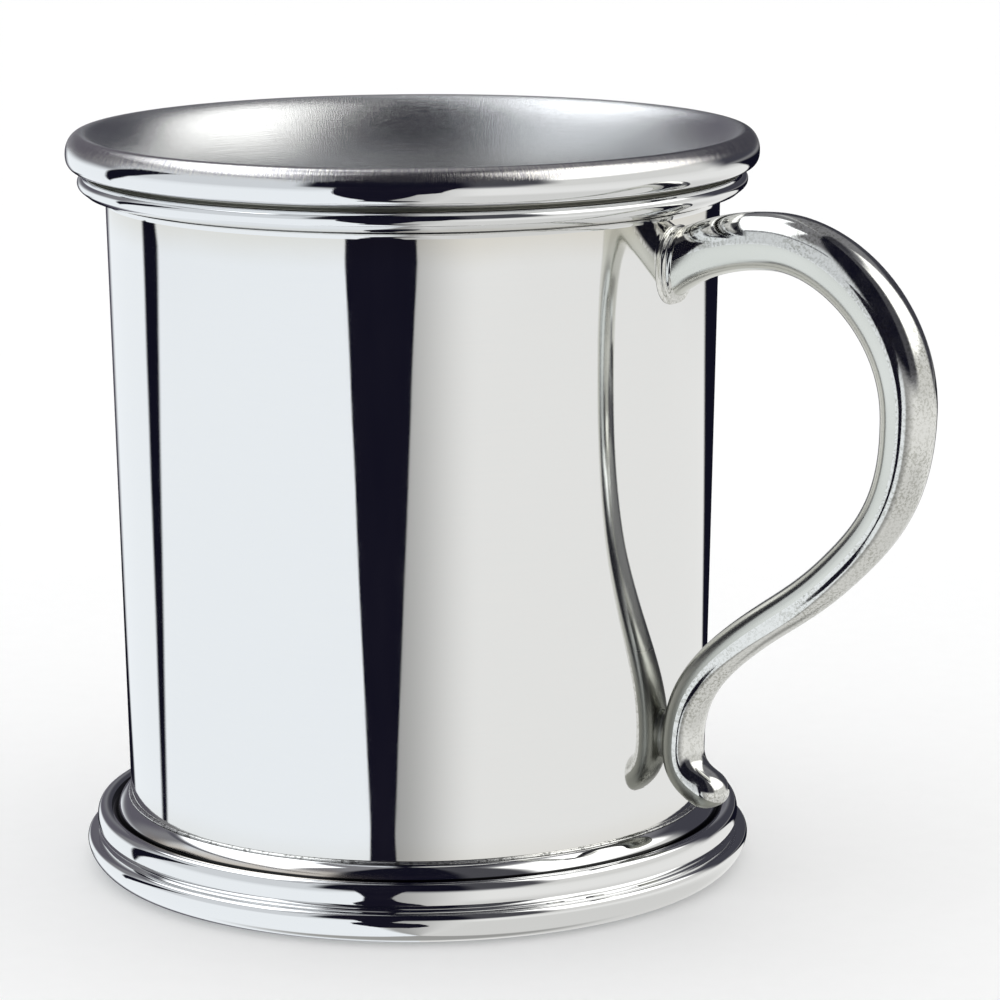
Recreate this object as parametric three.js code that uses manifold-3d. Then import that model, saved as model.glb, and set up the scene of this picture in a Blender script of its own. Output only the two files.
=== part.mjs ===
// A lidless pewter tankard. A tapered drum with a flared mouth carries a heavy rim moulding, a stepped
// foot moulding, a base plate and a cast loop handle, and solder joins each of them to the drum.
// Millimetres, +Z up. The drum's axis is the Z axis and the handle points to +X.

import * as THREE from "three";
import { mergeVertices } from "three/addons/utils/BufferGeometryUtils.js";
import Module from "manifold-3d";

const wasm = await Module();
wasm.setup();

// ---- Driving dimensions. Heights are above the surface that the tankard stands on. ----

const footSeamHeight = 10.0; // where the drum leaves the foot moulding
const rimSeamHeight = 95.2; // where the drum meets the rim moulding
const overallHeight = 104.1;
const drumFootRadius = 40.9; // outside of the drum at the foot seam
const drumRimRadius = 42.8; // outside of the drum at the rim seam
const wallThickness = 1.2;
const crestRadius = 46.2; // the circle along the top of the lip
const lipRadius = 48.25; // the widest circle of the lip
const beadRadius = 46.65; // the widest circle of the bead below the lip
const footRadius = 47.18; // the widest circle of the foot
const upperFootRadius = 45.75; // the widest circle of the foot's upper ring
const collarRadius = 41.45; // the top of the foot's rounded collar, against the drum
const collarFootRadius = 43.0; // the collar at the groove below it
const restInnerRadius = 42.9; // the flat ring that the tankard stands on
const restOuterRadius = 44.3;
const footWidestHeight = 3.5;
const lowerRingTop = 4.48;
const upperRingMiddle = 6.4;
const upperRingSection = { width: 0.85, height: 1.9 }; // half sizes of its rounded edge
const creaseHeight = 7.5; // the groove between the foot's upper ring and its collar
const ledgeWidth = 1.8; // the inner ledge that the base plate rests on
const ledgeThickness = 1.3;
const beadMiddle = 97.3;
const beadSectionRadius = 1.1;
const lipBottom = 99.1;
const lipMiddle = 101.3;
const basePlateUnderside = 4.4; // height of the part's origin
const basePlateThickness = 1.6;
const rebateDepth = 0.3; // the base plate's edge is cut back, to seat on the foot's ledge
const rebateRadius = 37.8; // the disc inside the rebate, clear of the ledge and its solder
const seamGap = 0.07; // between two turned pieces
const castingGap = 0.3; // between the handle's root and the drum
const solderGap = 0.1; // between handle solder and its neighbours
const footBoreGap = 0.1; // between the foot moulding's bore and the drum
const collarDrop = 0.2; // the foot moulding's collar ends this far below the foot seam

const turnedSegments = 56;
const handleStations = 40;
const handleSides = 18;

// The handle's centreline: each knot is a point in the XZ plane, the direction of travel in degrees
// and the reach of its curve to either side.
const handleKnots = [
  { x: 39.5, z: 85.8, heading: 50, reach: 3.0 },
  { x: 57.9, z: 92.4, heading: 0, reach: 9.9 },
  { x: 78.05, z: 71.2, heading: -90, reach: 11.6 },
  { x: 67.8, z: 48.8, heading: -136, reach: 8.0 },
  { x: 52.2, z: 36.8, heading: -140, reach: 7.8 },
  { x: 44.1, z: 22.2, heading: -92, reach: 5.6 },
  { x: 50.4, z: 14.5, heading: -42, reach: 3.4 },
];

// Thickness in the handle's own plane and width across it, at even steps from root to tip.
const handleThickness = [7.8, 7.8, 8.1, 7.2, 5.8, 5.4, 5.3, 5.3];
const handleWidth = [7.4, 7.6, 7.9, 7.8, 7.2, 6.8, 6.6, 6.8];
const innerSideSquareness = 0.8; // below 1, the side that faces the drum is flatter than an ellipse
const tipLength = 3.2; // length of the handle's rounded tip
const tipStations = 4; // of the handle's stations, those that round the tip
const upperSolderSteps = [
  { distance: 0.5, extra: 1.9 }, // distance along the centreline, and how far the solder stands proud
  { distance: 4.2, extra: 1.2 },
  { distance: 5.6, extra: 0.35 },
];
const lowerSolder = { centreHeight: 22.9, depth: 3, halfWidth: 2.3, halfHeight: 3.8 };

// ---- Outlines, as points of radius and height that run up the outside and down the inside ----

const point = (radius, height) => new THREE.Vector2(radius, height);

function drumRadius(height) {
  const slope = (drumRimRadius - drumFootRadius) / (rimSeamHeight - footSeamHeight);
  return drumFootRadius + slope * (height - footSeamHeight);
}

// An arc of a superellipse: a power of 2 is an ellipse, and a higher power is squarer.
function arc(centre, radii, power, fromDegrees, toDegrees, steps) {
  return Array.from({ length: steps + 1 }, (_, i) => {
    const angle = THREE.MathUtils.degToRad(THREE.MathUtils.lerp(fromDegrees, toDegrees, i / steps));
    const bend = (value) => Math.sign(value) * Math.abs(value) ** (2 / power);
    return point(centre.x + radii.x * bend(Math.cos(angle)), centre.y + radii.y * bend(Math.sin(angle)));
  });
}

// An elliptical arc from low to high, which lie at two given angles of its ellipse.
function arcBetween(low, high, fromDegrees, toDegrees, steps) {
  const from = THREE.MathUtils.degToRad(fromDegrees);
  const to = THREE.MathUtils.degToRad(toDegrees);
  const radii = point(
    (high.x - low.x) / (Math.cos(to) - Math.cos(from)),
    (high.y - low.y) / (Math.sin(to) - Math.sin(from)),
  );
  const centre = point(low.x - radii.x * Math.cos(from), low.y - radii.y * Math.sin(from));
  return arc(centre, radii, 2, fromDegrees, toDegrees, steps);
}

function bezier(start, startControl, endControl, end, steps) {
  return new THREE.CubicBezierCurve(start, startControl, endControl, end).getPoints(steps);
}

// The outside of the flared mouth, which the rim moulding fits against.
function mouthOutside() {
  const edge = overallHeight - wallThickness;
  return bezier(
    point(drumRimRadius, rimSeamHeight),
    point(drumRimRadius + 0.25, rimSeamHeight + 3.6),
    point(crestRadius - 1.5, edge),
    point(crestRadius, edge),
    8,
  );
}

function mouthInside() {
  const start = rimSeamHeight - 1;
  return bezier(
    point(crestRadius, overallHeight),
    point(crestRadius - 2.3, overallHeight),
    point(drumRadius(start) - wallThickness + 0.15, start + 4.8),
    point(drumRadius(start) - wallThickness, start),
    10,
  );
}

function turned(outline) {
  const closed = [...outline, outline[0]];
  return new THREE.LatheGeometry(closed, turnedSegments).rotateX(Math.PI / 2);
}

// ---- The turned pieces ----

function drumGeometry() {
  const bottom = basePlateUnderside + basePlateThickness + seamGap;
  return turned([
    point(drumRadius(bottom), bottom),
    ...mouthOutside(),
    ...mouthInside(),
    point(drumRadius(bottom) - wallThickness, bottom),
  ]);
}

function basePlateGeometry() {
  const radius = drumRadius(basePlateUnderside) - seamGap;
  const top = basePlateUnderside + basePlateThickness;
  const outline = [
    point(0, basePlateUnderside),
    point(rebateRadius, basePlateUnderside),
    point(rebateRadius, basePlateUnderside + rebateDepth),
    point(radius, basePlateUnderside + rebateDepth),
    point(radius, top),
    point(0, top),
  ];
  return new THREE.LatheGeometry(outline, turnedSegments).rotateX(Math.PI / 2);
}

// A lip above a narrow quirk and a smaller bead, on a short cove.
function rimMouldingGeometry() {
  const fit = new THREE.Vector2(seamGap, -seamGap);
  const inside = mouthOutside().map((p) => p.add(fit)).reverse();
  const beadCentre = point(beadRadius - beadSectionRadius, beadMiddle);
  const quirkRadius = beadCentre.x - 0.4;
  const lipCentre = point(crestRadius + seamGap, lipMiddle);
  const lipWidth = lipRadius - lipCentre.x;
  return turned([
    point(beadRadius - 1.25, rimSeamHeight + 0.55),
    point(beadRadius - 0.95, rimSeamHeight + 0.95),
    ...arc(beadCentre, point(beadSectionRadius, beadSectionRadius), 2, -50, 90, 6),
    point(quirkRadius, beadMiddle + beadSectionRadius + 0.2),
    point(quirkRadius, lipBottom - 0.15),
    ...arc(lipCentre, point(lipWidth, lipMiddle - lipBottom), 2.5, -82, 0, 5),
    ...arc(lipCentre, point(lipWidth, overallHeight - lipMiddle), 2, 15, 90, 5),
    ...inside,
  ]);
}

// A lower ring, a narrower upper ring and a rounded collar, hollow below and with a ledge for the base plate.
function footMouldingGeometry() {
  const boreRadius = drumFootRadius + footBoreGap;
  const ledgeRadius = boreRadius - ledgeWidth;
  const ledgeTop = basePlateUnderside + rebateDepth - seamGap;
  const cornerRadius = 0.6; // of the lower ring's top edge
  const cornerCentre = point(footRadius - cornerRadius, footWidestHeight);
  const upperCentre = point(upperFootRadius - upperRingSection.width, upperRingMiddle);
  const collarTop = footSeamHeight - collarDrop;
  const lowerRingFace = bezier(
    point(restOuterRadius + 0.2, 0.04),
    point(restOuterRadius + 1.3, 0.35),
    point(footRadius - 0.15, 1.9),
    point(footRadius, footWidestHeight),
    5,
  );
  return turned([
    point(restInnerRadius, 0),
    point(restOuterRadius, 0),
    ...lowerRingFace,
    ...arc(cornerCentre, point(cornerRadius, lowerRingTop - footWidestHeight), 2, 30, 90, 2),
    point(upperFootRadius - 0.1, lowerRingTop),
    ...arc(upperCentre, point(upperRingSection.width, upperRingSection.height), 2.4, -60, 90, 7),
    ...arcBetween(point(collarFootRadius, creaseHeight), point(collarRadius, collarTop), 10, 58, 4),
    point(boreRadius, collarTop),
    point(boreRadius, ledgeTop),
    point(ledgeRadius, ledgeTop),
    point(ledgeRadius, ledgeTop - ledgeThickness),
    point(boreRadius + 1.0, ledgeTop - 2.0),
  ]);
}

// ---- Solder between turned pieces ----

function rimSolderGeometry() {
  const radius = drumRimRadius + seamGap;
  return turned([
    point(radius, rimSeamHeight - 0.8),
    point(radius + 0.7, rimSeamHeight - 0.02),
    point(radius, rimSeamHeight - 2 * seamGap),
  ]);
}

function footSolderGeometry() {
  const radius = drumFootRadius + seamGap + 0.02;
  const bottom = footSeamHeight - collarDrop + seamGap;
  return turned([
    point(radius, bottom),
    point(collarRadius, bottom),
    point(collarRadius - 0.1, bottom + 0.3),
    point(radius, bottom + 0.5),
  ]);
}

function baseSolderGeometry() {
  const radius = drumFootRadius + footBoreGap - ledgeWidth - seamGap;
  const top = basePlateUnderside + rebateDepth - seamGap;
  return turned([point(radius - 1, top), point(radius, top - 1.1), point(radius, top)]);
}

// ---- The handle ----

function handleCentreline() {
  const path = new THREE.CurvePath();
  const at = ({ x, z, heading, reach }, side) => {
    const angle = THREE.MathUtils.degToRad(heading);
    return new THREE.Vector3(x + side * reach * Math.cos(angle), 0, z + side * reach * Math.sin(angle));
  };
  for (let i = 1; i < handleKnots.length; i += 1) {
    const [from, to] = [handleKnots[i - 1], handleKnots[i]];
    path.add(new THREE.CubicBezierCurve3(at(from, 0), at(from, 1), at(to, -1), at(to, 0)));
  }
  return path;
}

function alongHandle(values, fraction) {
  const spline = new THREE.SplineCurve(values.map((value, i) => new THREE.Vector2(i, value)));
  return spline.getPoint(fraction).y;
}

// One ring of points across the handle. `outward` points away from the handle's loop.
function handleSection(centre, outward, halfThickness, halfWidth) {
  return Array.from({ length: handleSides }, (_, i) => {
    const angle = (2 * Math.PI * i) / handleSides;
    const across = Math.cos(angle);
    const power = across < 0 ? innerSideSquareness : 1;
    const side = Math.sin(angle);
    const depth = Math.sign(across) * Math.abs(across) ** power * halfThickness;
    const sideways = Math.sign(side) * Math.abs(side) ** power * halfWidth;
    return centre.clone().addScaledVector(outward, depth).setY(sideways);
  });
}

// Joins rings of points into one closed surface, with a fan over each end.
function lofted(rings) {
  const sides = rings[0].length;
  const middle = (ring) => ring.reduce((sum, p) => sum.add(p), new THREE.Vector3()).divideScalar(sides);
  const points = [...rings.flat(), middle(rings[0]), middle(rings.at(-1))];
  const [startMiddle, endMiddle] = [points.length - 2, points.length - 1];
  const lastRing = (rings.length - 1) * sides;
  const index = [];
  for (let side = 0; side < sides; side += 1) {
    const next = (side + 1) % sides;
    for (let ring = 0; ring < rings.length - 1; ring += 1) {
      const [a, b] = [ring * sides + side, ring * sides + next];
      index.push(a, a + sides, b, b, a + sides, b + sides);
    }
    index.push(startMiddle, side, next, endMiddle, lastRing + next, lastRing + side);
  }
  return new THREE.BufferGeometry().setFromPoints(points).setIndex(index);
}

// The whole handle, with `extra` added to every side, before its root is cut to the drum.
function handleLoft(extra) {
  const path = handleCentreline();
  const length = path.getLength();
  const bodyStations = handleStations - tipStations;
  const rings = [];
  for (let i = 0; i <= handleStations; i += 1) {
    const tipStep = Math.max(0, i - bodyStations) / tipStations;
    const tipAngle = tipStep * THREE.MathUtils.degToRad(80);
    const bodyFraction = Math.min(1, i / bodyStations) * (1 - tipLength / length);
    const fraction = bodyFraction + (Math.sin(tipAngle) * tipLength) / length;
    const tangent = path.getTangentAt(Math.min(fraction, 1));
    const outward = new THREE.Vector3(-tangent.z, 0, tangent.x);
    const taper = Math.cos(tipAngle);
    const halfThickness = (alongHandle(handleThickness, fraction) / 2) * taper + extra;
    const halfWidth = (alongHandle(handleWidth, fraction) / 2) * taper + extra;
    rings.push(handleSection(path.getPointAt(Math.min(fraction, 1)), outward, halfThickness, halfWidth));
  }
  return lofted(rings);
}

// ---- Cutting one piece back from another ----

function solidOf(geometry) {
  const bare = new THREE.BufferGeometry();
  bare.setAttribute("position", geometry.getAttribute("position"));
  bare.setIndex(geometry.getIndex());
  const merged = mergeVertices(bare, 1e-4);
  const triVerts = new Uint32Array(merged.getIndex().array);
  const vertProperties = merged.getAttribute("position").array;
  return new wasm.Manifold(new wasm.Mesh({ numProp: 3, vertProperties, triVerts }));
}

function geometryOf(solid) {
  const mesh = solid.getMesh();
  const geometry = new THREE.BufferGeometry();
  geometry.setAttribute("position", new THREE.BufferAttribute(mesh.vertProperties, 3));
  geometry.setIndex(new THREE.BufferAttribute(mesh.triVerts, 1));
  geometry.computeVertexNormals();
  return geometry;
}

// The space that the drum takes up, from the foot to the rim, grown by `gap`.
function drumSpace(gap) {
  const outline = [
    point(0, 0),
    point(drumRadius(0) + gap, 0),
    point(drumRadius(overallHeight) + gap, overallHeight),
    point(0, overallHeight),
  ];
  return solidOf(new THREE.LatheGeometry(outline, turnedSegments).rotateX(Math.PI / 2));
}

function handleGeometry() {
  return geometryOf(solidOf(handleLoft(0)).subtract(drumSpace(castingGap)));
}

// A collar that narrows from the drum to the handle's root.
function upperHandleSolderGeometry() {
  const path = handleCentreline();
  const rings = upperSolderSteps.map(({ distance, extra }) => {
    const fraction = distance / path.getLength();
    const tangent = path.getTangentAt(fraction);
    const outward = new THREE.Vector3(-tangent.z, 0, tangent.x);
    const halfThickness = handleThickness[0] / 2 + extra;
    return handleSection(path.getPointAt(fraction), outward, halfThickness, handleWidth[0] / 2 + extra);
  });
  const collar = solidOf(lofted(rings));
  return geometryOf(collar.subtract(drumSpace(solderGap)).subtract(solidOf(handleLoft(solderGap))));
}

// An oval pad that fills the wedge between the drum and the handle's heel.
function lowerHandleSolderGeometry() {
  const { centreHeight, depth, halfWidth, halfHeight } = lowerSolder;
  const pad = new THREE.CylinderGeometry(1, 1, 1, 32).rotateZ(Math.PI / 2);
  pad.scale(depth, halfWidth, halfHeight).translate(drumFootRadius + 1, 0, centreHeight);
  return geometryOf(solidOf(pad).subtract(drumSpace(solderGap)).subtract(solidOf(handleLoft(solderGap))));
}

// ---- Materials and assembly ----

const polishedPewter = { color: 0xcbccca, roughness: 0.1, metalness: 1 };
const satinPewter = { color: 0xb3b3b0, roughness: 0.35, metalness: 1 };
const castPewter = { color: 0xc2c2bb, roughness: 0.18, metalness: 1 };
const solder = { color: 0x9b9b98, roughness: 0.4, metalness: 1 };

const pieces = {
  drum: [drumGeometry, polishedPewter],
  base_plate: [basePlateGeometry, satinPewter],
  rim_moulding: [rimMouldingGeometry, polishedPewter],
  foot_moulding: [footMouldingGeometry, polishedPewter],
  handle: [handleGeometry, castPewter],
  rim_solder: [rimSolderGeometry, solder],
  foot_solder: [footSolderGeometry, solder],
  base_solder: [baseSolderGeometry, solder],
  upper_handle_solder: [upperHandleSolderGeometry, solder],
  lower_handle_solder: [lowerHandleSolderGeometry, solder],
};

const standing = new THREE.Group(); // heights above the surface that the tankard stands on
for (const [name, [makeGeometry, finish]] of Object.entries(pieces)) {
  const mesh = new THREE.Mesh(makeGeometry(), new THREE.MeshStandardMaterial(finish));
  mesh.name = name;
  standing.add(mesh);
}

// The part's origin is the centre of the base plate's underside.
standing.position.z = -basePlateUnderside;
const tankard = new THREE.Group();
tankard.add(standing);

export default tankard;
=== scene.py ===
"""Looks for the pewter tankard: fine turned and cast pieces, polished and brushed pewter, and a plain studio.

Metres, +Z up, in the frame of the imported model. The drum's axis is the Z axis and the handle points to +X.
"""
import math

import bpy
from mathutils import Matrix, Vector


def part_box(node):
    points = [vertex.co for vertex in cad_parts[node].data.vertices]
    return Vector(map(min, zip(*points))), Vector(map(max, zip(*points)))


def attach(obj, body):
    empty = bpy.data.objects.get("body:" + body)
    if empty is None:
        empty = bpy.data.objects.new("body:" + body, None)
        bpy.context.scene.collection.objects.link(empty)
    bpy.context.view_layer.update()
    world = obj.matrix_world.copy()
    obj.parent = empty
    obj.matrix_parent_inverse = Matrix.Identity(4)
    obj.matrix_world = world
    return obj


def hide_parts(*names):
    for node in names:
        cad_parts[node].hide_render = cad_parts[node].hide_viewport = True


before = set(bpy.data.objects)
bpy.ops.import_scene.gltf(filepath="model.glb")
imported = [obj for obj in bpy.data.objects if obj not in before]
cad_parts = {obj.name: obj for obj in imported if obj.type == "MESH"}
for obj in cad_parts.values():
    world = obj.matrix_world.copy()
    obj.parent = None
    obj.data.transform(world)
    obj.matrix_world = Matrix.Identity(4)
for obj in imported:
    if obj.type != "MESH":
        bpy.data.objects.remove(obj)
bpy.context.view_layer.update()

MM = 0.001
TURN_STEPS = 576

# ---- Sizes, taken from the frame ----

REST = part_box("foot_moulding")[0].z  # the surface that the tankard stands on
FOOT_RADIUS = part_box("foot_moulding")[1].x
BASE_LOW, BASE_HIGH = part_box("base_plate")
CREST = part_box("drum")[1].z
CREST_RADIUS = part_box("drum")[1].x
LIP_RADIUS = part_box("rim_moulding")[1].x
RIM_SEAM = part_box("rim_solder")[1].z + 0.02 * MM
COLLAR_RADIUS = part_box("foot_solder")[1].x
FOOT_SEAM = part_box("foot_solder")[0].z + 0.13 * MM
DRUM_RIM_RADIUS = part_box("rim_solder")[1].x - 0.77 * MM
DRUM_FOOT_RADIUS = COLLAR_RADIUS - 0.55 * MM
WALL = 1.2 * MM
SEAM_GAP = 0.07 * MM  # between the drum, the base plate and the foot
FINE_GAP = 0.02 * MM  # between solder and the metal beside it
QUIRK_LOW = CREST - 5.75 * MM  # the groove between the lip and the bead
QUIRK_HIGH = CREST - 5.0 * MM
COLLAR_CREASE = REST + 7.5 * MM  # the groove where the foot's collar meets its upper ring
COLLAR_FOOT_RADIUS = COLLAR_RADIUS + 1.55 * MM  # the collar at that groove
REBATE = 0.3 * MM  # the base plate's edge is cut back by this, to seat on the foot's ledge
LEDGE_TOP = BASE_LOW.z + REBATE - SEAM_GAP


def drum_radius(z):
    """The drum's outside radius at height z."""
    slope = (DRUM_RIM_RADIUS - DRUM_FOOT_RADIUS) / (RIM_SEAM - FOOT_SEAM)
    return DRUM_FOOT_RADIUS + slope * (z - FOOT_SEAM)


# ---- Outlines: points of (radius, height) that run up the outside and down the inside ----


def arc(centre, radii, power, start, end, steps):
    """Points along a superellipse from start to end, in degrees. A power of 2 is an ellipse."""
    points = []
    for i in range(steps + 1):
        angle = math.radians(start + (end - start) * i / steps)
        bend = [math.copysign(abs(v) ** (2 / power), v) for v in (math.cos(angle), math.sin(angle))]
        points.append((centre[0] + radii[0] * bend[0], centre[1] + radii[1] * bend[1]))
    return points


def arc_between(low, high, start, end, steps):
    """An elliptical arc between two points, which lie at two given angles of its ellipse."""
    spans = (
        math.cos(math.radians(end)) - math.cos(math.radians(start)),
        math.sin(math.radians(end)) - math.sin(math.radians(start)),
    )
    radii = [(high[k] - low[k]) / spans[k] for k in (0, 1)]
    centre = (
        low[0] - radii[0] * math.cos(math.radians(start)),
        low[1] - radii[1] * math.sin(math.radians(start)),
    )
    return arc(centre, radii, 2, start, end, steps)


def bezier(a, b, c, d, steps):
    points = []
    for i in range(steps + 1):
        t = i / steps
        u = 1 - t
        weights = (u**3, 3 * u * u * t, 3 * u * t * t, t**3)
        points.append(tuple(sum(w * p[k] for w, p in zip(weights, (a, b, c, d))) for k in range(len(a))))
    return points


def mouth_outside(gap):
    """The outside of the drum's flared mouth, from the rim seam up to its edge."""
    edge = CREST - WALL
    return bezier(
        (DRUM_RIM_RADIUS + gap, RIM_SEAM),
        (DRUM_RIM_RADIUS + 0.25 * MM + gap, RIM_SEAM + 3.6 * MM - gap),
        (CREST_RADIUS - 1.5 * MM + gap, edge - gap),
        (CREST_RADIUS, edge - gap),
        24,
    )


def mouth_inside():
    """The inside of the flared mouth, from the crest down to the drum's wall."""
    low = RIM_SEAM - 1 * MM
    inner = drum_radius(low) - WALL
    return bezier(
        (CREST_RADIUS, CREST),
        (CREST_RADIUS - 2.3 * MM, CREST),
        (inner + 0.15 * MM, low + 4.8 * MM),
        (inner, low),
        40,
    )


def between(a, b, steps):
    """Points after a on a straight line, up to and with b."""
    return [tuple(p + (q - p) * i / steps for p, q in zip(a, b)) for i in range(1, steps + 1)]


# ---- Mesh makers ----


def add_piece(name, vertices, faces, materials, slots=None):
    mesh = bpy.data.meshes.new(name)
    mesh.from_pydata(vertices, [], faces)
    for material in materials:
        mesh.materials.append(material)
    if slots:
        mesh.polygons.foreach_set("material_index", slots)
    mesh.shade_smooth()
    mesh.set_sharp_from_angle(angle=math.radians(38))
    piece = bpy.data.objects.new(name, mesh)
    bpy.context.scene.collection.objects.link(piece)
    return piece


def turned(name, outline, materials, first_inner=None):
    """Turns a closed outline about the Z axis. Points from first_inner on take the second material."""
    vertices = []
    for step in range(TURN_STEPS):
        angle = 2 * math.pi * step / TURN_STEPS
        vertices += [(radius * math.cos(angle), radius * math.sin(angle), z) for radius, z in outline]
    count = len(outline)
    faces = []
    for step in range(TURN_STEPS):
        here, there = step * count, (step + 1) % TURN_STEPS * count
        for i in range(count):
            j = (i + 1) % count
            faces.append((here + i, there + i, there + j, here + j))
    slots = [int(first_inner is not None and i >= first_inner) for i in range(count)] * TURN_STEPS
    return add_piece(name, vertices, faces, materials, slots)


def disc(name, outline, materials):
    """Turns an open outline whose first and last points lie on the Z axis."""
    low, *ring, high = outline
    vertices = [(0, 0, low[1])]
    for step in range(TURN_STEPS):
        angle = 2 * math.pi * step / TURN_STEPS
        vertices += [(r * math.cos(angle), r * math.sin(angle), z) for r, z in ring]
    vertices.append((0, 0, high[1]))
    count, top = len(ring), len(vertices) - 1
    faces = []
    for step in range(TURN_STEPS):
        here, there = 1 + step * count, 1 + (step + 1) % TURN_STEPS * count
        faces.append((0, there, here))
        faces += [(here + i, there + i, there + i + 1, here + i + 1) for i in range(count - 1)]
        faces.append((here + count - 1, there + count - 1, top))
    return add_piece(name, vertices, faces, materials)


def lofted(name, rings, materials, second_sides=()):
    """Joins rings of points into one closed surface, with a fan over each end.

    The lengthwise strips in second_sides take the second material.
    """
    sides = len(rings[0])
    vertices = [p for ring in rings for p in ring]
    vertices += [sum(rings[0], Vector()) / sides, sum(rings[-1], Vector()) / sides]
    start, end = len(vertices) - 2, len(vertices) - 1
    last = (len(rings) - 1) * sides
    faces = []
    for side in range(sides):
        beside = (side + 1) % sides
        for ring in range(len(rings) - 1):
            a, b = ring * sides + side, ring * sides + beside
            faces.append((a, a + sides, b + sides, b))
        faces.append((start, side, beside))
        faces.append((end, last + beside, last + side))
    slots = [int(side in second_sides) for side in range(sides) for _ in range(len(rings) + 1)]
    return add_piece(name, vertices, faces, materials, slots)


# ---- Node helpers ----


class Graph:
    """Adds shader nodes. An input is a number, a tuple or another node's socket."""

    def __init__(self, tree):
        self.tree = tree
        tree.nodes.clear()

    def node(self, kind, inputs=(), **settings):
        made = self.tree.nodes.new(kind)
        for key, value in settings.items():
            setattr(made, key, value)
        for key, value in dict(inputs).items():
            if isinstance(value, bpy.types.NodeSocket):
                self.tree.links.new(value, made.inputs[key])
            else:
                made.inputs[key].default_value = value
        return made

    def math(self, operation, a, b=0.0, c=0.0):
        return self.node("ShaderNodeMath", {0: a, 1: b, 2: c}, operation=operation).outputs[0]

    def all_of(self, a, b, c):
        """The product of three masks."""
        return self.math("MULTIPLY", a, self.math("MULTIPLY", b, c))

    def remap(self, value, low, high, new_low=0.0, new_high=1.0):
        inputs = {"Value": value, "From Min": low, "From Max": high, "To Min": new_low, "To Max": new_high}
        return self.node("ShaderNodeMapRange", inputs, interpolation_type="SMOOTHSTEP").outputs["Result"]

    def noise(self, vector, scale, detail=2.0, rough=0.5):
        inputs = {"Vector": vector, "Scale": scale, "Detail": detail, "Roughness": rough}
        return self.node("ShaderNodeTexNoise", inputs).outputs["Fac"]

    def mix(self, factor, a, b):
        inputs = {0: factor, 6: a, 7: b}
        return self.node("ShaderNodeMix", inputs, data_type="RGBA").outputs[2]

    def combine(self, x, y, z):
        return self.node("ShaderNodeCombineXYZ", {0: x, 1: y, 2: z}).outputs[0]


def cylindrical(graph):
    """Sockets for the shaded point's position, and its angle in radians, radius and height."""
    position = graph.node("ShaderNodeTexCoord").outputs["Object"]
    parts = graph.node("ShaderNodeSeparateXYZ", {0: position}).outputs
    angle = graph.math("ARCTAN2", parts["Y"], parts["X"])
    square = graph.math("MULTIPLY", parts["X"], parts["X"])
    radius = graph.math("SQRT", graph.math("MULTIPLY_ADD", parts["Y"], parts["Y"], square))
    return position, angle, radius, parts["Z"]


def pewter(name, build):
    """A metal material. build(graph) gives its Principled inputs."""
    material = bpy.data.materials.new(name)
    material.use_nodes = True
    graph = Graph(material.node_tree)
    inputs = {"Metallic": 1.0, "IOR": 1.5, **build(graph)}
    shader = graph.node("ShaderNodeBsdfPrincipled", inputs)
    graph.node("ShaderNodeOutputMaterial", {"Surface": shader.outputs[0]})
    return material


# ---- Materials ----


def around_lines(graph, angle, radius, z, fineness):
    """Fine lines that run around the axis, as polishing and turning leave them."""
    turn = graph.combine(graph.math("COSINE", angle), graph.math("SINE", angle), 0.0)
    along = graph.node("ShaderNodeVectorMath", {0: turn, "Scale": 6.0}, operation="SCALE").outputs[0]
    height = graph.combine(0.0, 0.0, graph.math("MULTIPLY", graph.math("ADD", z, radius), fineness))
    vector = graph.node("ShaderNodeVectorMath", {0: along, 1: height}, operation="ADD").outputs[0]
    return graph.noise(vector, 1.0, 4.0, 0.6)


def radial_lines(graph, angle, z):
    """Fine lines that run up and down and across the lip, as hand brushing leaves them."""
    height = graph.math("MULTIPLY", z, 4.0)
    turn = graph.combine(graph.math("COSINE", angle), graph.math("SINE", angle), height)
    return graph.noise(turn, 260.0, 4.0, 0.7)


def polished(graph):
    """Bright metal with very fine polishing lines and a slight waviness."""
    position, angle, radius, z = cylindrical(graph)
    lines = around_lines(graph, angle, radius, z, 9000.0)
    bump = graph.node("ShaderNodeBump", {"Height": lines, "Strength": 0.012, "Distance": 0.0001})
    waves = graph.noise(position, 40.0, 1.0)
    wavy = graph.node(
        "ShaderNodeBump",
        {"Height": waves, "Strength": 0.03, "Distance": 0.002, "Normal": bump.outputs[0]},
    )
    colour = graph.mix(lines, (0.86, 0.865, 0.87, 1), (0.885, 0.885, 0.88, 1))
    roughness = graph.remap(graph.noise(position, 260.0, 3.0), 0.3, 0.7, 0.02, 0.045)
    return {"Base Color": colour, "Roughness": roughness, "Normal": wavy.outputs[0]}


def polished_drum(graph):
    """Polished metal with a faint warm bloom that fades away below the rim and above the foot."""
    inputs = polished(graph)
    position, _, _, z = cylindrical(graph)
    uneven = graph.math("MULTIPLY_ADD", graph.noise(position, 90.0, 3.0), 2 * MM, z)
    below_rim = graph.remap(uneven, RIM_SEAM - 4.5 * MM, RIM_SEAM + 1 * MM, 0.0, 0.7)
    above_foot = graph.remap(uneven, FOOT_SEAM, FOOT_SEAM + 5 * MM, 0.35, 0.0)
    warm_tint = graph.math("MAXIMUM", below_rim, above_foot)
    inputs["Base Color"] = graph.mix(warm_tint, inputs["Base Color"], (0.74, 0.71, 0.64, 1))
    return inputs


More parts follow.
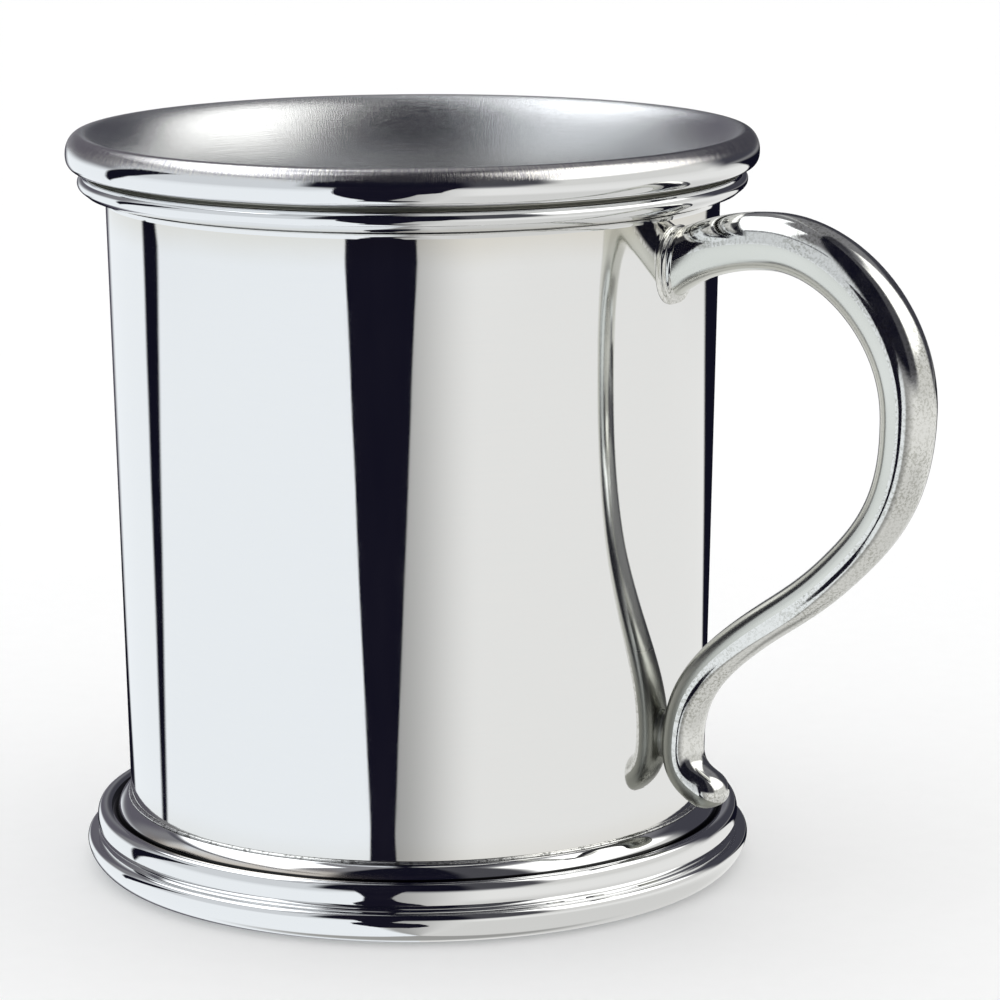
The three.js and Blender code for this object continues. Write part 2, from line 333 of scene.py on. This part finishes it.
def polished_foot(graph):
    """Polished metal with a line of painted shade and grime along the collar's groove and a tan tint on one
    side above it.
    """
    inputs = polished(graph)
    position, angle, radius, z = cylindrical(graph)
    patchy = graph.noise(position, 160.0, 3.0)
    height = graph.math("MULTIPLY_ADD", patchy, 1.2 * MM, graph.math("SUBTRACT", z, COLLAR_CREASE))
    off_side = graph.math("ABSOLUTE", graph.math("ADD", angle, math.pi / 2))
    # A tan tint on one side, a little above the groove.
    warm_tint = graph.all_of(
        graph.remap(height, 2.4 * MM, 1.4 * MM),
        graph.remap(off_side, 0.56, 0.4),
        graph.remap(radius, COLLAR_FOOT_RADIUS + 0.1 * MM, COLLAR_FOOT_RADIUS),
    )
    # The collar's groove is painted near black: painted shade in the crease, with some grime.
    shaded_groove = graph.all_of(
        graph.remap(z, COLLAR_CREASE + 0.75 * MM, COLLAR_CREASE + 0.6 * MM),
        graph.remap(radius, COLLAR_FOOT_RADIUS - 0.3 * MM, COLLAR_FOOT_RADIUS - 0.2 * MM),
        graph.remap(radius, COLLAR_FOOT_RADIUS + 0.8 * MM, COLLAR_FOOT_RADIUS + 0.7 * MM),
    )
    colour = graph.mix(warm_tint, inputs["Base Color"], (0.8, 0.72, 0.63, 1))
    inputs["Base Color"] = graph.mix(shaded_groove, colour, (0.03, 0.03, 0.03, 1))
    inputs["Roughness"] = graph.math("MULTIPLY_ADD", warm_tint, 0.12, inputs["Roughness"])
    return inputs


def brushed_lip(graph):
    """Polished metal whose top is brushed across the lip, with a ragged lower edge to the brushing, and
    painted shade in the groove under the lip.
    """
    _, angle, radius, z = cylindrical(graph)
    lines = radial_lines(graph, angle, z)
    ragged = graph.math("MULTIPLY_ADD", graph.math("SUBTRACT", lines, 0.5), 1.8 * MM, z)
    top = graph.remap(ragged, CREST - 1.9 * MM, CREST - 1.3 * MM)
    strength = graph.math("MULTIPLY_ADD", top, 0.2, 0.01)
    bump = graph.node("ShaderNodeBump", {"Height": lines, "Strength": strength, "Distance": 0.00012})
    streaked = graph.mix(graph.remap(lines, 0.42, 0.6), (0.68, 0.66, 0.68, 1), (0.9, 0.88, 0.84, 1))
    colour = graph.mix(top, (0.87, 0.875, 0.88, 1), streaked)
    roughness = graph.math("MULTIPLY_ADD", top, 0.14, 0.035)
    # The groove between the lip and the bead is painted darker and duller: painted shade in the recess.
    deep = graph.remap(radius, LIP_RADIUS - 2.9 * MM, LIP_RADIUS - 2.2 * MM, 1.0, 0.0)
    above_bead = graph.remap(z, QUIRK_LOW, QUIRK_LOW + 0.12 * MM)
    below_lip = graph.remap(z, QUIRK_HIGH, QUIRK_HIGH + 0.1 * MM, 1.0, 0.0)
    shaded_groove = graph.all_of(deep, above_bead, below_lip)
    return {
        "Base Color": graph.mix(shaded_groove, colour, (0.5, 0.5, 0.46, 1)),
        "Roughness": graph.math("MULTIPLY_ADD", shaded_groove, 0.4, roughness),
        "Normal": bump.outputs[0],
    }


def satin(graph):
    """Metal brushed around the axis, with crossing marks near the mouth."""
    _, angle, radius, z = cylindrical(graph)
    lines = around_lines(graph, angle, radius, z, 13000.0)
    bump = graph.node("ShaderNodeBump", {"Height": lines, "Strength": 0.25, "Distance": 0.0001})
    crossing = graph.node(
        "ShaderNodeBump",
        {
            "Height": radial_lines(graph, angle, z),
            "Strength": graph.remap(z, CREST - 16 * MM, CREST - 3 * MM, 0.04, 0.3),
            "Distance": 0.0001,
            "Normal": bump.outputs[0],
        },
    )
    tangent = graph.node("ShaderNodeTangent", direction_type="RADIAL", axis="Z")
    colour = graph.mix(lines, (0.74, 0.75, 0.76, 1), (0.9, 0.9, 0.9, 1))
    return {
        "Base Color": colour,
        "Roughness": 0.27,
        "Anisotropic": 0.6,
        "Anisotropic Rotation": 0.25,
        "Tangent": tangent.outputs[0],
        "Normal": crossing.outputs[0],
    }


def cast(graph):
    """Bright cast metal with patches of fine specks."""
    position = graph.node("ShaderNodeTexCoord").outputs["Object"]
    grain = graph.noise(position, 2600.0, 3.0, 0.65)
    patches = graph.remap(graph.noise(position, 130.0, 3.0), 0.35, 0.65, 0.25, 1.0)
    bump = graph.node("ShaderNodeBump", {"Height": grain, "Strength": 0.04, "Distance": 0.0001})
    speckle = graph.math("MULTIPLY", graph.remap(grain, 0.56, 0.38), patches)
    colour = graph.mix(speckle, (0.83, 0.83, 0.805, 1), (0.5, 0.5, 0.46, 1))
    roughness = graph.remap(graph.noise(position, 500.0, 3.0), 0.3, 0.7, 0.05, 0.1)
    return {"Base Color": colour, "Roughness": roughness, "Normal": bump.outputs[0]}


def filed(graph):
    """Duller metal with file marks along the handle, dullest near the heel."""
    position = graph.node("ShaderNodeTexCoord").outputs["Object"]
    parts = graph.node("ShaderNodeSeparateXYZ", {0: position}).outputs
    across = graph.math("MULTIPLY", parts["Y"], 1600.0)
    along = graph.math("MULTIPLY", parts["X"], 60.0)
    up = graph.math("MULTIPLY", parts["Z"], 60.0)
    marks = graph.noise(graph.combine(along, across, up), 1.0, 3.0)
    bump = graph.node("ShaderNodeBump", {"Height": marks, "Strength": 0.2, "Distance": 0.0001})
    heel = graph.remap(parts["Z"], REST + 45 * MM, REST + 25 * MM)
    bright = graph.mix(marks, (0.66, 0.67, 0.61, 1), (0.82, 0.82, 0.78, 1))
    dull = graph.mix(marks, (0.26, 0.27, 0.23, 1), (0.46, 0.46, 0.42, 1))
    return {
        "Base Color": graph.mix(heel, bright, dull),
        "Roughness": graph.math("MULTIPLY_ADD", heel, 0.16, 0.18),
        "Normal": bump.outputs[0],
    }


def soldered(graph):
    """Lumpy solder with dull pits."""
    position = graph.node("ShaderNodeTexCoord").outputs["Object"]
    lumps = graph.noise(position, 1900.0, 3.0)
    bump = graph.node("ShaderNodeBump", {"Height": lumps, "Strength": 0.06, "Distance": 0.0002})
    pits = graph.remap(lumps, 0.46, 0.4)
    colour = graph.mix(pits, (0.84, 0.84, 0.82, 1), (0.34, 0.34, 0.33, 1))
    return {"Base Color": colour, "Roughness": 0.22, "Normal": bump.outputs[0]}


POLISHED = pewter("polished_pewter", polished)
DRUM_POLISH = pewter("polished_drum_pewter", polished_drum)
FOOT_POLISH = pewter("polished_foot_pewter", polished_foot)
BRUSHED_LIP = pewter("brushed_lip_pewter", brushed_lip)
SATIN = pewter("satin_pewter", satin)
CAST = pewter("cast_pewter", cast)
FILED = pewter("filed_pewter", filed)
SOLDER = pewter("solder", soldered)

# ---- Turned pieces ----


def make_drum():
    bottom = BASE_HIGH.z + SEAM_GAP
    wall_top = (DRUM_RIM_RADIUS, RIM_SEAM)
    outside = [(drum_radius(bottom), bottom)]
    outside += between(outside[0], wall_top, 24)[:-1] + mouth_outside(0)
    inside = mouth_inside()
    inside += between(inside[-1], (drum_radius(bottom) - WALL, bottom), 24)
    return turned("drum_sheet", outside + inside, [DRUM_POLISH, SATIN], first_inner=len(outside))


def make_base():
    edge, seat = BASE_HIGH.x, BASE_LOW.z + REBATE
    inner = edge - 2.9 * MM
    outline = [(0, BASE_LOW.z), (inner, BASE_LOW.z), (inner, seat), (edge, seat)]
    return disc("base_disc", outline + [(edge, BASE_HIGH.z), (0, BASE_HIGH.z)], [SATIN])


def make_rim():
    bead_radius = LIP_RADIUS - 1.6 * MM
    bead = 1.1 * MM
    bead_centre = (bead_radius - bead, RIM_SEAM + 2.1 * MM)
    quirk = bead_centre[0] - 0.9 * MM  # radius of the groove between bead and lip
    corner = 0.35 * MM  # of the groove
    lip_middle = CREST - 2.8 * MM
    lip_bottom = CREST - 5 * MM
    centre = (CREST_RADIUS, lip_middle)
    width = LIP_RADIUS - CREST_RADIUS
    outline = [(bead_radius - 1.25 * MM, RIM_SEAM + 0.55 * MM)]
    outline += arc(bead_centre, (bead, bead), 2, -50, 90, 36)
    outline += arc((quirk + corner, lip_bottom - corner), (corner, corner), 2, 200, 160, 4)
    outline += arc(centre, (width, lip_middle - lip_bottom), 2.5, -82, 0, 30)
    outline += arc(centre, (width, CREST - lip_middle), 2, 3, 90, 36)
    outline += mouth_outside(0.01 * MM)[::-1]
    return turned("rim_casting", outline, [BRUSHED_LIP])


def make_foot():
    upper_radius = FOOT_RADIUS - 1.43 * MM
    widest = REST + 3.5 * MM
    lower_top = REST + 4.48 * MM
    upper_middle = REST + 6.4 * MM
    ring_edge = (0.85 * MM, 1.9 * MM)  # half sizes of the upper ring's rounded edge
    bore = DRUM_FOOT_RADIUS + 0.1 * MM
    ledge = bore - 1.8 * MM
    rest_inner = FOOT_RADIUS - 4.28 * MM
    rest_outer = rest_inner + 1.4 * MM
    corner = 0.6 * MM
    collar_top = FOOT_SEAM - 0.2 * MM
    outline = [(rest_inner, REST), (rest_outer, REST)]
    outline += bezier(
        (rest_outer + 0.2 * MM, REST + 0.04 * MM),
        (rest_outer + 1.3 * MM, REST + 0.35 * MM),
        (FOOT_RADIUS - 0.15 * MM, REST + 1.9 * MM),
        (FOOT_RADIUS, widest),
        30,
    )
    outline += arc((FOOT_RADIUS - corner, widest), (corner, lower_top - widest), 2, 6, 90, 14)
    outline.append((upper_radius - 0.1 * MM, lower_top))
    outline += arc((upper_radius - ring_edge[0], upper_middle), ring_edge, 2.4, -60, 90, 36)
    outline += bezier(
        outline[-1],
        (COLLAR_FOOT_RADIUS + 1.3 * MM, upper_middle + ring_edge[1]),
        (COLLAR_FOOT_RADIUS + 0.45 * MM, COLLAR_CREASE + 0.6 * MM),
        (COLLAR_FOOT_RADIUS, COLLAR_CREASE),
        12,
    )[1:-1]
    outline += arc_between((COLLAR_FOOT_RADIUS, COLLAR_CREASE), (COLLAR_RADIUS, collar_top), 10, 58, 24)
    outline += [(bore, collar_top), (bore, LEDGE_TOP), (ledge, LEDGE_TOP)]
    outline += [(ledge, LEDGE_TOP - 1.3 * MM), (bore + 1 * MM, LEDGE_TOP - 2 * MM)]
    return turned("foot_casting", outline, [FOOT_POLISH])


def make_foot_solder():
    """A thin rounded line of solder on top of the foot's collar."""
    bottom = FOOT_SEAM - 0.13 * MM
    inner = DRUM_FOOT_RADIUS + FINE_GAP
    outline = [(inner, bottom)] + arc((inner, bottom), (0.38 * MM, 0.3 * MM), 2, 0, 90, 8)
    return turned("foot_solder_line", outline, [SOLDER])


def make_rim_solder():
    radius = DRUM_RIM_RADIUS + FINE_GAP
    top = RIM_SEAM - FINE_GAP
    hollow = bezier(
        (radius, RIM_SEAM - 0.8 * MM),
        (radius + 0.08 * MM, RIM_SEAM - 0.3 * MM),
        (radius + 0.35 * MM, top - 0.08 * MM),
        (radius + 0.7 * MM, top),
        10,
    )
    return turned("rim_solder_line", hollow + [(radius, top)], [POLISHED])


def make_base_solder():
    outer = DRUM_FOOT_RADIUS - 1.77 * MM
    hollow = bezier(
        (outer - 1 * MM, LEDGE_TOP),
        (outer - 0.5 * MM, LEDGE_TOP - 0.1 * MM),
        (outer - 0.1 * MM, LEDGE_TOP - 0.5 * MM),
        (outer, LEDGE_TOP - 1.1 * MM),
        10,
    )
    return turned("base_solder_line", hollow + [(outer, LEDGE_TOP)], [SOLDER])


# ---- Handle ----

# Each knot of the centreline: x and height above the rest in millimetres, heading in degrees, and the reach
# of its curve to either side. Thickness and width are in millimetres, at even steps from root to tip.
HANDLE_KNOTS = [
    (39.5, 85.8, 50, 3.0),
    (57.9, 92.4, 0, 9.9),
    (78.05, 71.2, -90, 11.6),
    (67.8, 48.8, -136, 8.0),
    (52.2, 36.8, -140, 7.8),
    (44.1, 22.2, -92, 5.6),
    (50.4, 14.5, -42, 3.4),
]
HANDLE_THICKNESS = [7.8, 7.8, 8.1, 7.2, 5.8, 5.4, 5.3, 5.3]
HANDLE_WIDTH = [7.4, 7.6, 7.9, 7.8, 7.2, 6.8, 6.6, 6.8]
SKIN = 0.03 * MM  # the casting is this much slimmer than those sizes all round
INNER_SQUARENESS = 0.8
TIP_LENGTH = 3.2 * MM
HANDLE_SIDES = 72
CURVE_STEPS = 60


def handle_curve():
    """Points of the centreline in the XZ plane, with the length run so far at each."""
    knots = []
    for x, z, heading, reach in HANDLE_KNOTS:
        turn = math.radians(heading)
        step = Vector((math.cos(turn), math.sin(turn))) * reach * MM
        knots.append((Vector((x * MM, REST + z * MM)), step))
    points = [tuple(knots[0][0])]
    for (a, reach_a), (b, reach_b) in zip(knots, knots[1:]):
        points += bezier(tuple(a), tuple(a + reach_a), tuple(b - reach_b), tuple(b), CURVE_STEPS)[1:]
    lengths = [0.0]
    for p, q in zip(points, points[1:]):
        lengths.append(lengths[-1] + math.dist(p, q))
    return points, lengths


CURVE, CURVE_LENGTHS = handle_curve()
HANDLE_LENGTH = CURVE_LENGTHS[-1]


def curve_at(length):
    """The centreline's point and unit direction at a length from its start."""
    i = 0
    while i < len(CURVE) - 2 and CURVE_LENGTHS[i + 1] < length:
        i += 1
    share = (length - CURVE_LENGTHS[i]) / (CURVE_LENGTHS[i + 1] - CURVE_LENGTHS[i])
    here, there = Vector(CURVE[i]), Vector(CURVE[i + 1])
    before, after = Vector(CURVE[max(i - 1, 0)]), Vector(CURVE[min(i + 2, len(CURVE) - 1)])
    direction = (there - before).normalized().lerp((after - here).normalized(), min(max(share, 0), 1))
    return here.lerp(there, share), direction.normalized()


def spline_value(values, fraction):
    """A smooth curve through evenly spaced values."""
    place = min(max(fraction, 0), 1) * (len(values) - 1)
    i = min(int(place), len(values) - 2)
    t = place - i
    a, b = values[max(i - 1, 0)], values[i]
    c, d = values[i + 1], values[min(i + 2, len(values) - 1)]
    slope_b, slope_c = (c - a) / 2, (d - b) / 2
    curve = 2 * b - 2 * c + slope_b + slope_c
    return b + slope_b * t + (3 * (c - b) - 2 * slope_b - slope_c) * t * t + curve * t**3


def handle_point(length, angle, taper=1.0, extra=0.0):
    """A point of the handle's surface. Angle 0 is on the side away from the loop."""
    centre, direction = curve_at(length)
    outward = Vector((-direction.y, direction.x))
    fraction = length / HANDLE_LENGTH
    thick = (spline_value(HANDLE_THICKNESS, fraction) / 2 * MM - SKIN) * taper + extra
    wide = (spline_value(HANDLE_WIDTH, fraction) / 2 * MM - SKIN) * taper + extra
    across, side = math.cos(angle), math.sin(angle)
    power = INNER_SQUARENESS if across < 0 else 1
    depth = math.copysign(abs(across) ** power, across) * thick
    sideways = math.copysign(abs(side) ** power, side) * wide
    spot = centre + outward * depth
    return Vector((spot.x, sideways, spot.y))


def root_length(angle, gap):
    """How far along the handle the line at this angle leaves the drum's surface."""
    low, high = 0.0, 12 * MM
    for _ in range(40):
        middle = (low + high) / 2
        p = handle_point(middle, angle)
        if math.hypot(p.x, p.y) < drum_radius(p.z) + gap:
            low = middle
        else:
            high = middle
    return high


def make_handle():
    angles = [2 * math.pi * i / HANDLE_SIDES for i in range(HANDLE_SIDES)]
    roots = [root_length(angle, FINE_GAP) for angle in angles]
    blend_end = 16 * MM
    blend_steps = 24
    rings = []
    for step in range(blend_steps):
        share = step / blend_steps
        rings.append([handle_point(r + (blend_end - r) * share, a) for r, a in zip(roots, angles)])
    body_steps = 220
    body_end = HANDLE_LENGTH - TIP_LENGTH
    for step in range(body_steps):
        length = blend_end + (body_end - blend_end) * step / body_steps
        rings.append([handle_point(length, angle) for angle in angles])
    tip_steps = 18
    for step in range(tip_steps):
        turn = math.radians(88) * step / (tip_steps - 1)
        length = body_end + math.sin(turn) * TIP_LENGTH
        rings.append([handle_point(length, angle, math.cos(turn)) for angle in angles])
    facing_drum = range(HANDLE_SIDES // 4, HANDLE_SIDES * 3 // 4)
    return lofted("handle_casting", rings, [CAST, FILED], facing_drum)


def on_drum(point, gap):
    """The point moved straight out from the axis to the drum's surface."""
    radius = math.hypot(point.x, point.y)
    scale = (drum_radius(point.z) + gap) / radius
    return Vector((point.x * scale, point.y * scale, point.z))


def make_upper_solder():
    """A hollow fillet from the drum to the handle's root, with two shallow ridges around it."""
    angles = [2 * math.pi * i / HANDLE_SIDES for i in range(HANDLE_SIDES)]
    steps = 24
    overlap = 0.3 * MM  # how far the fillet reaches under the casting's surface
    ridge_height = 0.09  # millimetres
    ridge_waves = 2.5
    rings = [[] for _ in range(steps + 3)]
    for angle in angles:
        root = root_length(angle, 0)
        width = (0.75 + 0.6 * abs(math.sin(angle))) * MM
        foot = on_drum(handle_point(root, angle, extra=width), 0.03 * MM)
        corner = on_drum(handle_point(root, angle, extra=0.15 * MM), 0.2 * MM)
        top = handle_point(root + 1.7 * MM, angle, extra=0.03 * MM)
        pulls = [end.lerp(corner, 0.7) for end in (foot, top)]
        curve = bezier(*map(tuple, (foot, *pulls, top)), steps)
        out = (foot + top - 2 * corner).normalized()
        points = [on_drum(handle_point(root, angle, extra=-overlap), FINE_GAP)]
        for i, spot in enumerate(curve):
            share = i / steps
            wave = math.sin(ridge_waves * 2 * math.pi * share)
            ridge = math.sin(math.pi * share) * wave * ridge_height * MM
            points.append(Vector(spot) + out * ridge)
        points.append(handle_point(root + 1.5 * MM, angle, extra=-overlap))
        for ring, spot in zip(rings, points):
            ring.append(spot)
    sides = len(angles)
    vertices = [spot for ring in rings for spot in ring]
    faces = []
    for ring in range(len(rings)):
        here, after = ring * sides, (ring + 1) % len(rings) * sides
        for side in range(sides):
            beside = (side + 1) % sides
            faces.append((here + side, after + side, after + beside, here + beside))
    return add_piece("upper_handle_fillet", vertices, faces, [CAST])


def make_lower_solder():
    """A waisted oval pad between the drum and the handle's heel."""
    low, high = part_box("lower_handle_solder")
    centre_z = (low.z + high.z) / 2
    half_height = (high.z - low.z) / 2
    sides = 48
    steps = 8
    reach = 1.7 * MM
    waist = 0.12  # how much narrower the middle is, as a share
    rings = []
    for step in range(steps + 1):
        share = step / steps
        swell = 1 - waist * math.sin(math.pi * share)
        x = DRUM_FOOT_RADIUS - 0.1 * MM + reach * share
        ring = []
        for i in range(sides):
            angle = 2 * math.pi * i / sides
            ring.append(Vector((
                x,
                low.y * swell * math.cos(angle),
                centre_z + half_height * swell * math.sin(angle),
            )))
        rings.append(ring)
    return lofted("lower_handle_pad", rings, [FILED])


# ---- Placing the pieces ----

PIECES = [
    (make_drum, "drum", "polished_pewter"),
    (make_base, "base_plate", "satin_pewter"),
    (make_rim, "rim_moulding", "polished_pewter"),
    (make_foot, "foot_moulding", "polished_pewter"),
    (make_handle, "handle", "cast_pewter"),
    (make_rim_solder, "rim_solder", "solder"),
    (make_foot_solder, "foot_solder", "solder"),
    (make_base_solder, "base_solder", "solder"),
    (make_upper_solder, "upper_handle_solder", "solder"),
    (make_lower_solder, "lower_handle_solder", "solder"),
]

for make, node, slot in PIECES:
    piece = make()
    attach(piece, "root")
    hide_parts(node)

# ---- Studio ----

CAMERA_AZIMUTH = math.radians(34)
CAMERA_DISTANCE = 592.7 * MM  # from the drum's axis
CAMERA_HEIGHT = 169.9 * MM  # above the surface that the tankard stands on
CAMERA_PITCH = 0.1974627  # radians below level
CAMERA_YAW = 0.0201585  # radians to the right of the drum's axis
CAMERA_ROLL = -0.0039002  # radians
CAMERA_LENS = 153.76


def make_floor():
    half = 3.0
    below = REST - 0.05 * MM
    corners = [(-half, -half, below), (half, -half, below), (half, half, below), (-half, half, below)]
    material = bpy.data.materials.new("floor_paper")
    material.use_nodes = True
    graph = Graph(material.node_tree)
    grain = graph.noise(graph.node("ShaderNodeTexCoord").outputs["Object"], 300.0, 3.0)
    colour = graph.mix(grain, (0.93, 0.93, 0.93, 1), (0.95, 0.95, 0.95, 1))
    shader = graph.node("ShaderNodeBsdfPrincipled", {"Base Color": colour, "Roughness": 0.9})
    graph.node("ShaderNodeOutputMaterial", {"Surface": shader.outputs[0]})
    floor = add_piece("floor", corners, [(0, 1, 2, 3)], [material])
    floor.visible_glossy = False


def make_camera():
    data = bpy.data.cameras.new("camera")
    data.lens = CAMERA_LENS
    data.sensor_width = 36
    data.clip_start = 0.01
    camera = bpy.data.objects.new("camera", data)
    bpy.context.scene.collection.objects.link(camera)
    forward = Vector((
        math.sin(CAMERA_YAW) * math.cos(CAMERA_PITCH),
        math.cos(CAMERA_YAW) * math.cos(CAMERA_PITCH),
        -math.sin(CAMERA_PITCH),
    ))
    level = Vector((math.cos(CAMERA_YAW), -math.sin(CAMERA_YAW), 0))
    upward = level.cross(forward)
    right = math.cos(CAMERA_ROLL) * level + math.sin(CAMERA_ROLL) * upward
    up = -math.sin(CAMERA_ROLL) * level + math.cos(CAMERA_ROLL) * upward
    pose = Matrix((right, up, -forward)).transposed().to_4x4()
    pose.translation = Vector((0, -CAMERA_DISTANCE, REST + CAMERA_HEIGHT))
    camera.matrix_world = Matrix.Rotation(CAMERA_AZIMUTH, 4, "Z") @ pose
    bpy.context.scene.camera = camera


# The dark card stands between the tankard and the camera, and only mirrors see it. Each row is a height
# above the rest with the card's left and right edges there, as seen from the camera.
CARD_DISTANCE = 152 * MM  # from the drum's axis
CARD_ROWS = [
    (119, -58, 42),
    (106, -60, 31),
    (82, -62, 20),
    (72, -61.5, 3),
    (-24, -44, -21),
    (-40, -46, -16),
    (-62, -57, 0),
    (-90, -58, 8),
    (-112, -48, 8),
    (-140, -36, -10),
]


def make_dark_card():
    towards = Vector((math.sin(CAMERA_AZIMUTH), -math.cos(CAMERA_AZIMUTH), 0))
    aside = Vector((math.cos(CAMERA_AZIMUTH), math.sin(CAMERA_AZIMUTH), 0))
    vertices = []
    for height, left, right in CARD_ROWS:
        middle = towards * CARD_DISTANCE + Vector((0, 0, REST + height * MM))
        vertices += [middle + aside * left * MM, middle + aside * right * MM]
    faces = [(2 * i, 2 * i + 1, 2 * i + 3, 2 * i + 2) for i in range(len(CARD_ROWS) - 1)]
    material = bpy.data.materials.new("dark_card")
    material.use_nodes = True
    graph = Graph(material.node_tree)
    cloth = graph.noise(graph.node("ShaderNodeTexCoord").outputs["Object"], 40.0, 3.0)
    colour = graph.mix(cloth, (0.004, 0.004, 0.012, 1), (0.012, 0.011, 0.02, 1))
    glow = graph.node("ShaderNodeEmission", {"Color": colour, "Strength": 1.0})
    graph.node("ShaderNodeOutputMaterial", {"Surface": glow.outputs[0]})
    card = add_piece("dark_card", vertices, faces, [material])
    for seen_by in ("camera", "diffuse", "shadow", "transmission"):
        setattr(card, "visible_" + seen_by, False)


# ---- The studio light, by direction ----
#
# Azimuths are in degrees from the camera, positive to the right, and elevations are above the horizon.
# Each patch is painted over the ones before it. "lean" moves its edges sideways by that many degrees
# for each degree of elevation above the patch's middle, and "taper" narrows it below its middle.

COOL_WALL = (0.91, 0.95, 0.985)
WARM_WALL = (0.86, 0.86, 0.845)
NAVY = (0.006, 0.006, 0.014)
PURPLE_GREY = (0.075, 0.07, 0.095)

STUDIO_PATCHES = {
    "right_low": dict(middle=92, half=80, low=-100, high=-26, soft=8, colour=(0.7, 0.7, 0.685)),
    "back_low": dict(middle=180, half=42, low=-100, high=-56, soft=8, colour=(0.35, 0.35, 0.34)),
    "upper_room": dict(middle=0, half=180, low=1, high=100, soft=6, colour=(0.22, 0.22, 0.235)),
    "left_wall_top": dict(middle=-70, half=42, low=-5, high=45, soft=7, colour=(0.68, 0.71, 0.74)),
    "right_wall_top": dict(middle=76, half=38, low=-5, high=20, soft=8, colour=(0.72, 0.72, 0.7)),
    "left_box": dict(middle=-109, half=51, low=38, high=70, soft=2, colour=(1.7, 1.75, 1.8)),
    "left_box_frame": dict(middle=-90, half=50, low=33, high=36, soft=1.2, colour=(0.1, 0.1, 0.12)),
    "right_box": dict(middle=80, half=34, low=19, high=64, soft=5, colour=(1.7, 1.7, 1.66)),
    "back_left": dict(middle=-157, half=22, low=4, high=34, soft=8, colour=(0.12, 0.115, 0.14)),
    "back_right": dict(middle=150, half=31, low=-5, high=36, soft=6, colour=(0.055, 0.055, 0.07)),
    "zenith": dict(middle=50, half=90, low=72, high=100, soft=5, colour=(0.04, 0.04, 0.05)),
    "right_of_camera": dict(middle=24, half=22, low=6, high=80, soft=6, colour=(0.07, 0.07, 0.08)),
    "camera_side": dict(middle=-9, half=27, low=6, high=100, soft=4, colour=NAVY),
    "left_slot": dict(
        middle=-109.7, half=8.3, low=-22, high=18, soft=1.2, colour=NAVY, lean=0.81, taper=0.42
    ),
    "far_left_slot": dict(middle=-170, half=8, low=-40, high=0, soft=5, colour=PURPLE_GREY),
    "far_right_slot": dict(middle=168, half=22, low=-17, high=-4, soft=2, colour=NAVY, lean=-2.6),
}


def patch_mask(graph, azimuth, elevation, middle, half, low, high, soft, lean=0.0, taper=0.0):
    """1 inside the patch and 0 outside it."""
    height = graph.math("SUBTRACT", elevation, (low + high) / 2)
    offset = graph.math("SUBTRACT", azimuth, graph.math("MULTIPLY_ADD", height, lean, middle))
    aside = graph.math("ABSOLUTE", graph.math("WRAP", offset, 180.0, -180.0))
    aside = graph.math("SUBTRACT", aside, graph.math("MULTIPLY", graph.math("MINIMUM", height, 0.0), taper))
    across = graph.remap(aside, half - soft, half + soft, 1.0, 0.0)
    up = graph.remap(elevation, low - soft, low + soft)
    down = graph.remap(elevation, high - soft, high + soft, 1.0, 0.0)
    return graph.all_of(across, up, down)


def make_world():
    """Mirrors see the studio's patches; the floor and the camera see plain pale light."""
    world = bpy.data.worlds.new("studio")
    world.use_nodes = True
    bpy.context.scene.world = world
    graph = Graph(world.node_tree)
    direction = graph.node("ShaderNodeTexCoord").outputs["Generated"]
    parts = graph.node("ShaderNodeSeparateXYZ", {0: direction}).outputs
    turn = graph.math("ARCTAN2", parts["X"], graph.math("MULTIPLY", parts["Y"], -1.0))
    azimuth = graph.math("SUBTRACT", graph.math("DEGREES", turn), math.degrees(CAMERA_AZIMUTH))
    azimuth = graph.math("WRAP", azimuth, 180.0, -180.0)
    elevation = graph.math("DEGREES", graph.math("ARCSINE", parts["Z"]))
    shade = graph.remap(azimuth, -14.0, 26.0, 0.42, 1.0)
    right = graph.node("ShaderNodeVectorMath", {0: WARM_WALL, "Scale": shade}, operation="SCALE").outputs[0]
    colour = graph.mix(graph.remap(azimuth, -20.0, -12.0), (*COOL_WALL, 1), right)
    for patch in STUDIO_PATCHES.values():
        settings = dict(patch)
        tint = (*settings.pop("colour"), 1)
        colour = graph.mix(patch_mask(graph, azimuth, elevation, **settings), colour, tint)
    mirror = graph.node("ShaderNodeBackground", {"Color": colour, "Strength": 1.0})
    plain = graph.node("ShaderNodeBackground", {"Color": (1, 1, 1, 1), "Strength": 1.1})
    glossy = graph.node("ShaderNodeLightPath").outputs["Is Glossy Ray"]
    both = graph.node("ShaderNodeMixShader", {0: glossy, 1: plain.outputs[0], 2: mirror.outputs[0]})
    graph.node("ShaderNodeOutputWorld", {"Surface": both.outputs[0]})


make_floor()
make_camera()
make_world()
make_dark_card()
bpy.context.scene.view_settings.view_transform = "Standard"
